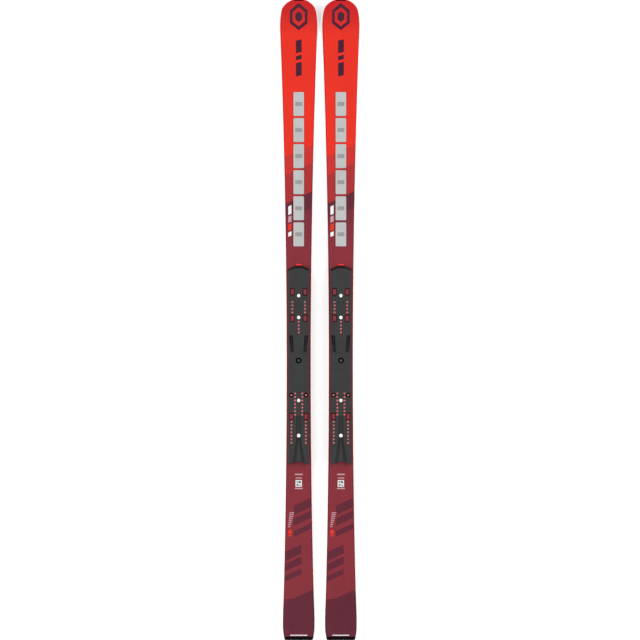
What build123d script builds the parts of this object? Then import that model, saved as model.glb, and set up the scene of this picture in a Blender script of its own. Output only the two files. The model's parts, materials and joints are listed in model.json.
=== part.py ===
from build123d import *
import os
from math import asin, cos, degrees, radians, sin, tan

# A pair of giant-slalom race skis with floating interface plates, lying base down on a floor.
# +Y points to the tips, +X to the right and +Z up. The origin is on the floor, midway between the
# two skis and half way along them. Lengths are in millimetres and angles in degrees.

# ------------------------------------------------------------------ outline, seen from above
ski_length = 1816.4
ski_spacing = 119.6
waist_width = 68.2
waist_y = -130.0
tail_width = 89.8
tail_widest_y = -862.0
tail_radius = 155.0

crown_radius = 56.0
crown_cut_off = 1.5
crown_turn = 44.0
shoulder_radius = 36.0
shoulder_turn = 36.0
cheek_radius = 235.0
cheek_turn = 12.2

# ------------------------------------------------------------------ side view
camber_height = 4.0
front_contact_y = 723.0
rear_contact_y = -862.0
early_rise_radius = 900.0
early_rise_turn = 5.0
shovel_radius = 220.0
shovel_turn = 31.0
tail_rise_radius = 300.0
tail_rise_turn = 11.0

deck_height = 20.0
tip_thickness = 7.5
tail_thickness = 8.5
front_taper = 1.34
rear_taper = 1.55
deck_blend_radius = 1500.0
rim_bevel = 3.0

# ------------------------------------------------------------------ layers
edge_width = 2.0
edge_height = 2.0
flange_reach = 6.0
flange_underside = 1.3
lower_metal_top = 2.8
sidewall_width = 6.0
top_sheet_thickness = 0.6
upper_metal_thickness = 0.8

tip_protector_width = 27.0
tip_protector_length = 4.2
tip_tongue_length = 7.7
tail_protector_length = 10.2

# ------------------------------------------------------------------ damping modules
module_count = 6
module_pitch = 74.0
rear_module_y = 243.0
module_length = 68.0
module_width = 30.0
module_corner = 3.0
pad_thickness = 0.8
pad_inset = 0.8
cover_thickness = 1.4
cover_round = 0.4
module_insert_width = 19.5
module_insert_length = 10.8
module_insert_gap = 0.15
module_insert_recess = 0.3

# ------------------------------------------------------------------ interface plate
plate_width = 58.8
plate_top = 34.2
plate_edge = 1.0
plate_front_y = 153.0
nose_half = 10.0
nose_shoulder_y = 145.5
nose_bevel = 7.5
glide_thickness = 1.5
glide_width = 56.0
glide_gap = 0.1
float_travel = 2.0
seam = 0.3
bridge_front_y = -93.3
bridge_rear_y = -203.1
plate_rear_y = -407.9
rear_notch_y = -401.4
rear_notch_half = 12.0
prong_inner = 20.0
prong_round = 2.5

window_width = 12.6
window_length = 21.2
window_corner = 1.5
block_width = 9.6
block_length = 16.6
block_top = 33.2
block_corner = 1.0
block_edge = 0.8

hole_pitch = 10.0
insert_radius = 2.6
insert_fit = 0.05
insert_depth = 9.0
insert_recess = 0.3
pilot_radius = 2.05
pilot_depth = 2.5
ring_radius = 6.5
ring_depth = 10.0
ring_recess = 0.1

# Places are (x, y) from the ski's own centre line. A rail is (x, rear-most hole, number of holes).
toe_windows = [(-17.9, 80.2), (17.9, 80.2), (-17.9, 5.0), (17.9, 5.0)]
toe_screw_places = [(0.0, 69.2), (0.0, 7.4)]
toe_rails = [(-17.9, 21.5, 4), (17.9, 21.5, 4), (0.0, -34.8, 4)]
heel_windows = [(-20.8, -273.2), (20.8, -273.2)]
heel_screw_places = [(0.0, -227.6), (0.0, -327.1)]
heel_rails = [(-10.2, -267.8, 7), (10.2, -267.8, 7), (-20.3, -347.7, 7), (20.3, -347.7, 7)]
ring_places = [(-20.8, -212.3), (20.8, -212.3)]
centre_screw_place = (0.0, -114.5)

tongue_radius = 10.0
tongue_front_y = 54.0
tongue_rear_y = 20.0
tongue_depth = 0.8
pocket_depth = 6.0
pocket_rib_depth = 2.5
pocket = [(16.5, -43.0), (27.4, -43.0), (22.8, -90.5), (13.2, -90.5)]
pocket_rib = [(21.2, -42.0), (22.8, -42.0), (19.6, -70.0), (18.8, -70.0)]

channel_depth = 3.0
channel_half = 6.8
channel_front_y = -272.0
channel_fork_y = -338.0
fork_half = 18.0
wedge_half = 8.6
wedge_tip_y = -334.0

# ------------------------------------------------------------------ screws and bumper
screw_head_radius = 5.25
screw_head_height = 3.2
screw_head_dome = 1.2
screw_shank_radius = 2.75
screw_clearance = 0.3
head_clearance = 0.25
head_lift = 0.1
head_pocket_depth = 5.0
screw_foot = 8.5
screw_slot = 2 * float_travel + 0.4
deck_hole_clearance = 0.05

cup_radius = 8.5
cup_depth = 4.5
cup_height = 4.3
cup_lip = 1.0
cup_floor = 1.0
cup_bore = 3.0
cup_floor_radius = 4.4
centre_head_radius = 3.9
centre_head_height = 3.0
socket_across_flats = 4.0
socket_depth = 2.2

bumper_width = 16.0
bumper_length = 3.4
bumper_height = 6.0
bumper_corner = 1.2
bumper_gap = 2.4

# ------------------------------------------------------------------ derived
half_length = ski_length / 2
far = 200.0
camber_half = (front_contact_y - rear_contact_y) / 2
camber_mid_y = (front_contact_y + rear_contact_y) / 2
camber_radius = (camber_half**2 + camber_height**2) / (2 * camber_height)
camber_slope = degrees(asin(camber_half / camber_radius))
contact_lift = early_rise_radius * (1 - cos(radians(camber_slope)))
core_drop = top_sheet_thickness + upper_metal_thickness
head_floor = plate_top - head_pocket_depth
plate_bottom = deck_height + glide_thickness + glide_gap
deck_holes = toe_screw_places + heel_screw_places + [centre_screw_place]


# ------------------------------------------------------------------ shared shapes
def ground(x, height=0.0):
    """The horizontal plane at this height, centred on the ski whose centre line is at x."""
    return Plane((x, 0, height))


def ski_outline(x, inset=0.0, rim=0.0):
    """The ski from above, drawn in by inset. With a rim, only a border of that width is left."""
    flat_half = (crown_radius**2 - (crown_radius - crown_cut_off) ** 2) ** 0.5
    flat_turn = degrees(asin(flat_half / crown_radius))
    crown_centre = (0, half_length + crown_cut_off - crown_radius)
    with BuildSketch(ground(x, -far / 2)) as outline:
        with BuildLine():
            Line((0, half_length), (flat_half, half_length))
            crown = CenterArc(crown_centre, crown_radius, 90 - flat_turn, flat_turn - crown_turn)
            shoulder = JernArc(crown @ 1, crown % 1, shoulder_radius, -shoulder_turn)
            cheek = JernArc(shoulder @ 1, shoulder % 1, cheek_radius, -cheek_turn)
            side = ThreePointArc(cheek @ 1, (waist_width / 2, waist_y), (tail_width / 2, tail_widest_y))
            flare = (side % 1).X
            tail_sine = (half_length + tail_widest_y) / tail_radius - flare
            tail = JernArc(side @ 1, side % 1, tail_radius, -degrees(asin(flare) + asin(tail_sine)))
            Line(tail @ 1, (0, -half_length))
            mirror(about=Plane.YZ)
        make_face()
        if inset:
            offset(amount=-inset)
        if rim:
            offset(amount=-rim, mode=Mode.SUBTRACT)
    return outline.sketch


def protector_places(x, tip_length=tip_tongue_length):
    """The notch at the tip and the strip at the tail that the two protectors fill.

    Under the top sheets the notch is as long as the tip protector's tongue, which reaches in past
    the edges and sidewalls and so parts the left ones from the right ones.
    """
    with BuildSketch(ground(x, -far / 2)) as places:
        with Locations((0, half_length)):
            Rectangle(tip_protector_width, 2 * tip_length)
        with Locations((0, -half_length)):
            Rectangle(far, 2 * tail_protector_length)
    return places.sketch


def lower_curve(lift):
    """Draws the base's line, raised by lift, and returns its tail end and its tip end."""
    centre = (camber_mid_y, contact_lift + camber_height - camber_radius + lift)
    camber = CenterArc(centre, camber_radius, 90 + camber_slope, -2 * camber_slope)
    early = JernArc(camber @ 1, camber % 1, early_rise_radius, camber_slope + early_rise_turn)
    shovel = JernArc(early @ 1, early % 1, shovel_radius, shovel_turn)
    tail = JernArc(camber @ 0, -(camber % 0), tail_rise_radius, -(camber_slope + tail_rise_turn))
    return tail @ 1, shovel @ 1


def taper_start(contact_y, rise_radius, taper, thickness, forwards):
    """Where the straight taper meets the rising end of the ski, on the deck's line."""
    lowest_y = contact_y + forwards * rise_radius * sin(radians(camber_slope))
    start_y = lowest_y - forwards * rise_radius * sin(radians(taper))
    return start_y, thickness + rise_radius * (1 - cos(radians(taper)))


def upper_curve(drop):
    """Draws the deck's line, lowered by drop, and returns its tail end and its tip end.

    The flat deck under the plate runs into a straight taper each way, and each taper into an
    end that rises as the base does.
    """
    ends = []
    front = (1, front_contact_y, early_rise_radius, front_taper, tip_thickness, early_rise_turn)
    rear = (-1, rear_contact_y, tail_rise_radius, rear_taper, tail_thickness, tail_rise_turn)
    for forwards, contact_y, rise_radius, taper, thickness, rise_turn in (rear, front):
        slope = radians(taper)
        start_y, start_z = taper_start(contact_y, rise_radius, taper, thickness, forwards)
        fall = deck_height - start_z - deck_blend_radius * (1 - cos(slope))
        start = (start_y, start_z - drop)
        top = (start_y - forwards * fall / tan(slope), start_z - drop + fall)
        Line(start, top)
        blend = JernArc(top, (-forwards * cos(slope), sin(slope)), deck_blend_radius, forwards * taper)
        tangent = (forwards * cos(slope), -sin(slope))
        rise = JernArc(start, tangent, rise_radius, forwards * (taper + rise_turn))
        ends.append((blend @ 1, rise))
    Line(ends[0][0], ends[1][0])
    shovel = JernArc(ends[1][1] @ 1, ends[1][1] % 1, shovel_radius, shovel_turn)
    return ends[0][1] @ 1, shovel @ 1


def side_view(x, lower, lower_shift, upper, upper_shift):
    """The face between two of the ski's lines, upright along the ski's centre line."""
    with BuildSketch(Plane((x, 0, 0), x_dir=(0, 1, 0), z_dir=(1, 0, 0))) as view:
        with BuildLine():
            low_tail, low_tip = lower(lower_shift)
            high_tail, high_tip = upper(upper_shift)
            Line(low_tail, high_tail)
            Line(low_tip, high_tip)
        make_face()
    return view.sketch


def layer(plan, view):
    """The solid that has this plan and this side view."""
    with BuildPart() as solid:
        extrude(plan, amount=far)
        extrude(view, amount=far, both=True, mode=Mode.INTERSECT)
    return solid.part


def ski_blank(x):
    """The whole ski as it is milled after pressing, with its bevelled rim."""
    with BuildPart() as blank:
        add(layer(ski_outline(x), side_view(x, lower_curve, 0, upper_curve, 0)))
        deck = blank.faces().filter_by(lambda face: face.normal_at().Z > 0.5)
        sides = blank.faces().filter_by(lambda face: abs(face.normal_at().Z) < 0.1)
        rim = deck.edges() & sides.edges()
        # One edge of each smooth run is enough, because the bevel follows a run to its ends.
        chamfer(rim.filter_by(GeomType.CIRCLE) + rim.filter_by(GeomType.LINE), length=rim_bevel)
    return blank.part


def rail_places(rails):
    """Every hole of these rails, as (x, y)."""
    return [(x, rear_y + hole_pitch * step) for x, rear_y, count in rails for step in range(count)]


def mirrored(points):
    """The same outline on the other side of the ski's centre line."""
    return [(-x, y) for x, y in reversed(points)]


def save(builder, side, name):
    """Labels a finished piece and writes its STEP file."""
    builder.part.label = f"{side}_{name}"
    export_step(builder.part, f"parts/{side}_{name}.step")


# ------------------------------------------------------------------ the laminated ski
def make_running_surface(side, x):
    """The sintered base, and the two steel edges whose flanges reach in over it."""
    with BuildPart() as running_base:
        add(layer(ski_outline(x, edge_width), side_view(x, lower_curve, 0, lower_curve, edge_height)))
        flanges = ski_outline(x, 0, flange_reach)
        over_base = side_view(x, lower_curve, flange_underside, lower_curve, edge_height)
        add(layer(flanges, over_base), mode=Mode.SUBTRACT)
        extrude(protector_places(x), amount=far, mode=Mode.SUBTRACT)
    save(running_base, side, "running_base")

    with BuildPart() as edges:
        add(layer(ski_outline(x, 0, flange_reach), side_view(x, lower_curve, 0, lower_curve, edge_height)))
        under_flange = side_view(x, lower_curve, 0, lower_curve, flange_underside)
        add(layer(ski_outline(x, edge_width), under_flange), mode=Mode.SUBTRACT)
        extrude(protector_places(x), amount=far, mode=Mode.SUBTRACT)
    with BuildPart() as left_edge:
        add(edges.solids().sort_by(Axis.X)[0])
    save(left_edge, side, "left_edge")
    with BuildPart() as right_edge:
        add(edges.solids().sort_by(Axis.X)[-1])
    save(right_edge, side, "right_edge")


def make_laminate(side, x, blank):
    """The metal sheets, core, sidewalls and top sheet, between the edges and the deck."""
    with BuildPart() as lower_metal_sheet:
        add(layer(ski_outline(x), side_view(x, lower_curve, edge_height, lower_curve, lower_metal_top)))
        extrude(protector_places(x), amount=far, mode=Mode.SUBTRACT)
    save(lower_metal_sheet, side, "lower_metal_sheet")

    middle = side_view(x, lower_curve, lower_metal_top, upper_curve, core_drop)
    with BuildPart() as wood_core:
        add(layer(ski_outline(x, sidewall_width), middle))
        extrude(protector_places(x), amount=far, mode=Mode.SUBTRACT)
        drill_deck(x)
    save(wood_core, side, "wood_core")

    with BuildPart() as sidewalls:
        add(blank)
        extrude(ski_outline(x, 0, sidewall_width), amount=far, mode=Mode.INTERSECT)
        extrude(middle, amount=far, both=True, mode=Mode.INTERSECT)
        extrude(protector_places(x), amount=far, mode=Mode.SUBTRACT)
    with BuildPart() as left_sidewall:
        add(sidewalls.solids().sort_by(Axis.X)[0])
    save(left_sidewall, side, "left_sidewall")
    with BuildPart() as right_sidewall:
        add(sidewalls.solids().sort_by(Axis.X)[-1])
    save(right_sidewall, side, "right_sidewall")

    with BuildPart() as upper_metal_sheet:
        add(blank)
        sheet = side_view(x, upper_curve, core_drop, upper_curve, top_sheet_thickness)
        extrude(sheet, amount=far, both=True, mode=Mode.INTERSECT)
        extrude(protector_places(x, tip_protector_length), amount=far, mode=Mode.SUBTRACT)
        drill_deck(x)
    save(upper_metal_sheet, side, "upper_metal_sheet")

    with BuildPart() as top_sheet:
        add(blank)
        sheet = side_view(x, upper_curve, top_sheet_thickness, upper_curve, 0)
        extrude(sheet, amount=far, both=True, mode=Mode.INTERSECT)
        extrude(protector_places(x, tip_protector_length), amount=far, mode=Mode.SUBTRACT)
        drill_deck(x)
    save(top_sheet, side, "top_sheet")


def drill_deck(x):
    """Holes in the current part for the screws that hold the plate down."""
    with BuildSketch(ground(x, screw_foot)) as holes:
        with Locations(*deck_holes):
            Circle(screw_shank_radius + deck_hole_clearance)
    extrude(holes.sketch, amount=far, mode=Mode.SUBTRACT)


def make_protectors(side, x, blank):
    """The plugs that close the laminate at the tip and at the tail.

    The two top sheets lie over the tip protector's tongue.
    """
    tail_places, tip_places = protector_places(x).faces().sort_by(Axis.Y)
    with BuildSketch(ground(x, -far / 2)) as covered:
        with Locations((0, half_length - (tip_protector_length + tip_tongue_length) / 2)):
            Rectangle(far, tip_tongue_length - tip_protector_length)
    sheets = side_view(x, upper_curve, core_drop, upper_curve, -core_drop)
    with BuildPart() as tip_protector:
        add(blank)
        extrude(tip_places, amount=far, mode=Mode.INTERSECT)
        add(layer(covered.sketch, sheets), mode=Mode.SUBTRACT)
    save(tip_protector, side, "tip_protector")
    with BuildPart() as tail_protector:
        add(blank)
        extrude(tail_places, amount=far, mode=Mode.INTERSECT)
    save(tail_protector, side, "tail_protector")


# ------------------------------------------------------------------ damping modules
def module_planes(x, height=0.0):
    """A plane for each module, this high above the tapering deck and in line with it."""
    start_y, start_z = taper_start(front_contact_y, early_rise_radius, front_taper, tip_thickness, 1)
    slope = radians(front_taper)
    planes = []
    for step in range(module_count):
        y = rear_module_y + module_pitch * step
        deck_z = start_z + (start_y - y) * tan(slope)
        deck = Plane((x, y, deck_z), x_dir=(1, 0, 0), z_dir=(0, sin(slope), cos(slope)))
        planes.append(deck.offset(height))
    return planes


def make_modules(side, x):
    """Elastomer pads on the deck, a metal cover on each, and an insert in each cover's window."""
    with BuildPart() as module_pads:
        for plane in module_planes(x):
            with BuildSketch(plane):
                RectangleRounded(module_width - 2 * pad_inset, module_length - 2 * pad_inset,
                                 module_corner - pad_inset)
            extrude(amount=pad_thickness)
    save(module_pads, side, "module_pads")

    with BuildPart() as module_plates:
        for plane in module_planes(x, pad_thickness):
            with BuildSketch(plane):
                RectangleRounded(module_width, module_length, module_corner)
                Rectangle(module_insert_width, module_insert_length, mode=Mode.SUBTRACT)
            extrude(amount=cover_thickness)
        tops = module_plates.faces().filter_by(lambda face: face.normal_at().Z > 0.9)
        fillet(tops.edges(), radius=cover_round)
    save(module_plates, side, "module_plates")

    with BuildPart() as module_inserts:
        for plane in module_planes(x, pad_thickness):
            with BuildSketch(plane):
                Rectangle(module_insert_width - 2 * module_insert_gap,
                          module_insert_length - 2 * module_insert_gap)
            extrude(amount=cover_thickness - module_insert_recess)
    save(module_inserts, side, "module_inserts")


# ------------------------------------------------------------------ interface plate
def cut_windows_and_slots(x, windows, screw_places):
    """Windows for the guide blocks and stepped slots for the shoulder screws."""
    with BuildSketch(ground(x)) as through:
        with Locations(*windows):
            RectangleRounded(window_width, window_length, window_corner)
        with Locations(*screw_places):
            SlotCenterToCenter(screw_slot, 2 * (screw_shank_radius + screw_clearance), rotation=90)
    extrude(through.sketch, amount=far, mode=Mode.SUBTRACT)
    with BuildSketch(ground(x, head_floor)) as head_pockets:
        with Locations(*screw_places):
            SlotCenterToCenter(screw_slot, 2 * (screw_head_radius + head_clearance), rotation=90)
    extrude(head_pockets.sketch, amount=far, mode=Mode.SUBTRACT)


def cut_insert_holes(x, places, radius, depth):
    """Blind holes in the plate's top."""
    with BuildSketch(ground(x, plate_top)) as holes:
        with Locations(*places):
            Circle(radius)
    extrude(holes.sketch, amount=-depth, mode=Mode.SUBTRACT)


def make_toe_plate(side, x):
    """The floating toe section, with its sloped nose, tongue mark and tapered side pockets."""
    half = plate_width / 2
    with BuildPart() as toe_plate:
        with BuildSketch(ground(x, plate_bottom)):
            with BuildLine():
                Polyline((-half, bridge_front_y + seam), (half, bridge_front_y + seam),
                         (half, nose_shoulder_y), (nose_half, plate_front_y),
                         (-nose_half, plate_front_y), (-half, nose_shoulder_y), close=True)
            make_face()
        extrude(amount=plate_top - plate_bottom)
        top_edges = toe_plate.faces().sort_by(Axis.Z)[-1].edges()
        nose = top_edges.filter_by(lambda edge: edge.center().Y > nose_shoulder_y)
        chamfer(nose, length=nose_bevel)
        top_edges = toe_plate.faces().filter_by(Axis.Z).sort_by(Axis.Z)[-1].edges()
        chamfer(top_edges.filter_by(Axis.Y), length=plate_edge)
        with BuildSketch(ground(x, plate_top)):
            with Locations((0, (tongue_front_y - tongue_radius + tongue_rear_y) / 2)):
                Rectangle(2 * tongue_radius, tongue_front_y - tongue_radius - tongue_rear_y)
            with Locations((0, tongue_front_y - tongue_radius)):
                Circle(tongue_radius)
        extrude(amount=-tongue_depth, mode=Mode.SUBTRACT)
        with BuildSketch(ground(x, plate_top)):
            Polygon(*pocket, align=None)
            Polygon(*mirrored(pocket), align=None)
        extrude(amount=-pocket_depth, mode=Mode.SUBTRACT)
        with BuildSketch(ground(x, plate_top - pocket_rib_depth)):
            Polygon(*pocket_rib, align=None)
            Polygon(*mirrored(pocket_rib), align=None)
        extrude(amount=pocket_rib_depth - pocket_depth)
        cut_windows_and_slots(x, toe_windows, toe_screw_places)
        cut_insert_holes(x, rail_places(toe_rails), insert_radius, insert_depth)
    save(toe_plate, side, "toe_plate")


def make_heel_plate(side, x):
    """The floating heel section, with its drain channel that forks round a wedge."""
    half = plate_width / 2
    with BuildPart() as heel_plate:
        with BuildSketch(ground(x, plate_bottom)):
            with BuildLine():
                right_side = FilletPolyline((half, bridge_rear_y - seam), (half, plate_rear_y),
                                            (prong_inner, plate_rear_y), (rear_notch_half, rear_notch_y),
                                            (0, rear_notch_y), radius=prong_round)
                Line(right_side @ 0, (0, bridge_rear_y - seam))
                mirror(about=Plane.YZ)
            make_face()
        extrude(amount=plate_top - plate_bottom)
        top_edges = heel_plate.faces().sort_by(Axis.Z)[-1].edges()
        behind_seam = top_edges.filter_by(lambda edge: edge.center().Y < bridge_rear_y - plate_edge)
        chamfer(behind_seam, length=plate_edge)
        with BuildSketch(ground(x, plate_top)):
            with Locations((0, (channel_front_y + channel_fork_y) / 2)):
                Rectangle(2 * channel_half, channel_front_y - channel_fork_y)
            Polygon((-channel_half, channel_fork_y), (channel_half, channel_fork_y),
                    (fork_half, plate_rear_y), (-fork_half, plate_rear_y), align=None)
            Polygon((0, wedge_tip_y), (wedge_half, plate_rear_y), (-wedge_half, plate_rear_y),
                    align=None, mode=Mode.SUBTRACT)
        extrude(amount=-channel_depth, mode=Mode.SUBTRACT)
        cut_windows_and_slots(x, heel_windows, heel_screw_places)
        cut_insert_holes(x, rail_places(heel_rails), insert_radius, insert_depth)
        cut_insert_holes(x, ring_places, ring_radius, ring_depth)
    save(heel_plate, side, "heel_plate")

    with BuildPart() as ring_bushes:
        with BuildSketch(ground(x, plate_top - ring_recess)):
            with Locations(*ring_places):
                Circle(ring_radius - insert_fit)
                Circle(insert_radius, mode=Mode.SUBTRACT)
        extrude(amount=ring_recess - ring_depth)
    save(ring_bushes, side, "ring_bushes")


def make_plate_inserts(side, x, name, places):
    """Plastic bushes that the binding's screws bite into, one in each of the plate's holes."""
    with BuildPart() as plate_inserts:
        with BuildSketch(ground(x, plate_top - insert_recess)):
            with Locations(*places):
                Circle(insert_radius - insert_fit)
        extrude(amount=insert_recess - insert_depth)
        with BuildSketch(ground(x, plate_top - insert_recess)):
            with Locations(*places):
                Circle(pilot_radius)
        extrude(amount=-pilot_depth, mode=Mode.SUBTRACT)
    save(plate_inserts, side, name)


def make_guide_blocks(side, x, name, windows):
    """Blocks bonded to the deck, which the plate's windows slide along."""
    with BuildPart() as guide_blocks:
        with BuildSketch(ground(x, deck_height)):
            with Locations(*windows):
                RectangleRounded(block_width, block_length, block_corner)
        extrude(amount=block_top - deck_height)
        tops = guide_blocks.faces().filter_by(Axis.Z).group_by(Axis.Z)[-1]
        chamfer(tops.edges(), length=block_edge)
    save(guide_blocks, side, name)


def make_glide_sheet(side, x, name, rear_y, front_y, windows, screw_places):
    """The low-friction sheet on the deck that a floating section of the plate slides on."""
    with BuildPart() as glide_sheet:
        with BuildSketch(ground(x, deck_height)):
            with Locations((0, (rear_y + front_y) / 2)):
                Rectangle(glide_width, front_y - rear_y)
            with Locations(*windows):
                Rectangle(window_width, block_length + screw_clearance, mode=Mode.SUBTRACT)
            with Locations(*screw_places):
                Circle(screw_shank_radius + screw_clearance, mode=Mode.SUBTRACT)
        extrude(amount=glide_thickness)
    save(glide_sheet, side, name)


def make_shoulder_screws(side, x, name, screw_places):
    """Screws with smooth capped heads, which hold a floating section down but let it slide."""
    with BuildPart() as shoulder_screws:
        with BuildSketch(ground(x, head_floor + head_lift)):
            with Locations(*screw_places):
                Circle(screw_head_radius)
        extrude(amount=screw_head_height)
        tops = shoulder_screws.faces().filter_by(Axis.Z).group_by(Axis.Z)[-1]
        fillet(tops.edges(), radius=screw_head_dome)
        with BuildSketch(ground(x, screw_foot)):
            with Locations(*screw_places):
                Circle(screw_shank_radius)
        extrude(amount=head_floor + head_lift - screw_foot)
    save(shoulder_screws, side, name)


def make_centre(side, x):
    """The bridge clamped at the middle of the boot, its cup washer and its screw."""
    cup_seat = plate_top - cup_depth
    screw_x, screw_y = centre_screw_place
    with BuildPart() as centre_bridge:
        with BuildSketch(ground(x, deck_height)):
            with Locations((0, (bridge_front_y + bridge_rear_y) / 2)):
                Rectangle(plate_width, bridge_front_y - bridge_rear_y)
        extrude(amount=plate_top - deck_height)
        top_edges = centre_bridge.faces().sort_by(Axis.Z)[-1].edges()
        chamfer(top_edges.filter_by(Axis.Y), length=plate_edge)
        with BuildSketch(ground(x, cup_seat)):
            with Locations(centre_screw_place):
                Circle(cup_radius + insert_fit)
        extrude(amount=far, mode=Mode.SUBTRACT)
        with BuildSketch(ground(x)):
            with Locations(centre_screw_place):
                Circle(screw_shank_radius + screw_clearance)
        extrude(amount=far, mode=Mode.SUBTRACT)
    save(centre_bridge, side, "centre_bridge")

    with BuildPart() as centre_cup_washer:
        with BuildSketch(Plane((x, screw_y, cup_seat), x_dir=(1, 0, 0), z_dir=(0, -1, 0))):
            with BuildLine():
                Polyline((cup_bore, 0), (cup_radius, 0), (cup_radius, cup_height),
                         (cup_radius - cup_lip, cup_height), (cup_floor_radius, cup_floor),
                         (cup_bore, cup_floor), close=True)
            make_face()
        revolve(axis=Axis((x + screw_x, screw_y, 0), (0, 0, 1)))
    save(centre_cup_washer, side, "centre_cup_washer")

    with BuildPart() as centre_screw:
        head_bottom = cup_seat + cup_floor
        with BuildSketch(ground(x, head_bottom)):
            with Locations(centre_screw_place):
                Circle(centre_head_radius)
        extrude(amount=centre_head_height)
        with BuildSketch(ground(x, head_bottom + centre_head_height)):
            with Locations(centre_screw_place):
                RegularPolygon(socket_across_flats / 2, 6, major_radius=False)
        extrude(amount=-socket_depth, mode=Mode.SUBTRACT)
        with BuildSketch(ground(x, screw_foot)):
            with Locations(centre_screw_place):
                Circle(screw_shank_radius)
        extrude(amount=head_bottom - screw_foot)
    save(centre_screw, side, "centre_screw")


def make_front_bumper(side, x):
    """The elastomer bumper on the deck in front of the plate's nose."""
    bumper_y = plate_front_y + bumper_gap + bumper_length / 2
    with BuildPart() as front_bumper:
        with BuildSketch(ground(x, deck_height)):
            with Locations((0, bumper_y)):
                RectangleRounded(bumper_width, bumper_length, bumper_corner)
        extrude(amount=bumper_height)
        fillet(front_bumper.faces().sort_by(Axis.Z)[-1].edges(), radius=bumper_corner / 2)
    save(front_bumper, side, "front_bumper")


# ------------------------------------------------------------------ both skis
os.makedirs("parts", exist_ok=True)
for side, x in (("left", -ski_spacing / 2), ("right", ski_spacing / 2)):
    blank = ski_blank(x)
    make_running_surface(side, x)
    make_laminate(side, x, blank)
    make_protectors(side, x, blank)
    make_modules(side, x)
    make_toe_plate(side, x)
    make_plate_inserts(side, x, "toe_plate_inserts", rail_places(toe_rails))
    make_guide_blocks(side, x, "toe_guide_blocks", toe_windows)
    make_glide_sheet(side, x, "toe_glide_sheet", bridge_front_y + seam, nose_shoulder_y,
                     toe_windows, toe_screw_places)
    make_shoulder_screws(side, x, "toe_screws", toe_screw_places)
    make_heel_plate(side, x)
    make_plate_inserts(side, x, "heel_plate_inserts", rail_places(heel_rails) + ring_places)
    make_guide_blocks(side, x, "heel_guide_blocks", heel_windows)
    make_glide_sheet(side, x, "heel_glide_sheet", rear_notch_y, bridge_rear_y - seam,
                     heel_windows, heel_screw_places)
    make_shoulder_screws(side, x, "heel_screws", heel_screw_places)
    make_centre(side, x)
    make_front_bumper(side, x)
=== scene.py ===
import json
from math import radians

import bmesh
import bpy
import numpy as np
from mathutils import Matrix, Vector
from mathutils.geometry import delaunay_2d_cdt


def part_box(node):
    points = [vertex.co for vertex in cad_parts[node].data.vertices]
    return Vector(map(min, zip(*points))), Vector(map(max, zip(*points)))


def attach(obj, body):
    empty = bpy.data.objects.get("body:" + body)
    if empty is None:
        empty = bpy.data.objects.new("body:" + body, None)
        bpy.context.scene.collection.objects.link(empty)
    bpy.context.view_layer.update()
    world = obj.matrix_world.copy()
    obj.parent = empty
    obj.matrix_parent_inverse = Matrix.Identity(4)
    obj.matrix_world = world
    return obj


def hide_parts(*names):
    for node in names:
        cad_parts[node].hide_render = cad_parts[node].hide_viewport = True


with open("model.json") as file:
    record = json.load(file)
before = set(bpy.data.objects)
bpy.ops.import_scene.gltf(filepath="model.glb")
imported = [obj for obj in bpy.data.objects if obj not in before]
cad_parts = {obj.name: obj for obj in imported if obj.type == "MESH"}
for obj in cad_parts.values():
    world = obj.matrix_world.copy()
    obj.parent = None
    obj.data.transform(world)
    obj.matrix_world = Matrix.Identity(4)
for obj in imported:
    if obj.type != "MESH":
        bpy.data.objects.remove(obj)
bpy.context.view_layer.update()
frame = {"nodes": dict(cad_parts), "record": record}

# The looks of a pair of race skis. Each ski's pressed body is built again here as smooth, finely
# divided layers along the lines of its CAD nodes, with its printed sheet laid on top as inlaid
# films. The plate, modules and fasteners stay CAD nodes and get their materials. Lengths in the
# tables are in millimetres from each ski's own centre line.
MM = 0.001
SIDES = ("left", "right")

# The studio brightens a surface by this gain and lays a veil of reflected light over it. Both are
# taken off a colour, so that it shows as named.
light_gain = 1.21
light_veil = 0.017


def shown_as(red, green, blue):
    """The surface colour, in linear light, that this studio shows as this display colour."""
    values = np.array([red, green, blue]) / 255
    linear = np.where(values <= 0.04045, values / 12.92, ((values + 0.055) / 1.055) ** 2.4)
    return (*(float(v) for v in np.clip((linear - light_veil) / light_gain, 0.002, 0.9)), 1.0)


# ------------------------------------------------------------------ lines read from the frame
# How far a face's normal may lean, as components of a unit vector, and still count.
level_least = 0.78
facing_least = 0.98
side_lean_most = 0.02
end_lean_most = 0.1

# The least spacing of the points that the smooth lines keep, in millimetres.
height_spacing = 5.0
rim_spacing = 0.5


def face_corners(node, test):
    """The corners, in millimetres, of the node's faces whose normal and place pass the test."""
    mesh = frame["nodes"][node].data
    found = set()
    for face in mesh.polygons:
        if test(face.normal, face.center):
            found.update(face.vertices)
    return np.array([mesh.vertices[i].co for i in sorted(found)]) / MM


def centre_line(side):
    """The x of this ski's centre line, in millimetres."""
    low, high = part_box(f"{side}_centre_bridge")
    return (low.x + high.x) / 2 / MM


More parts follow.
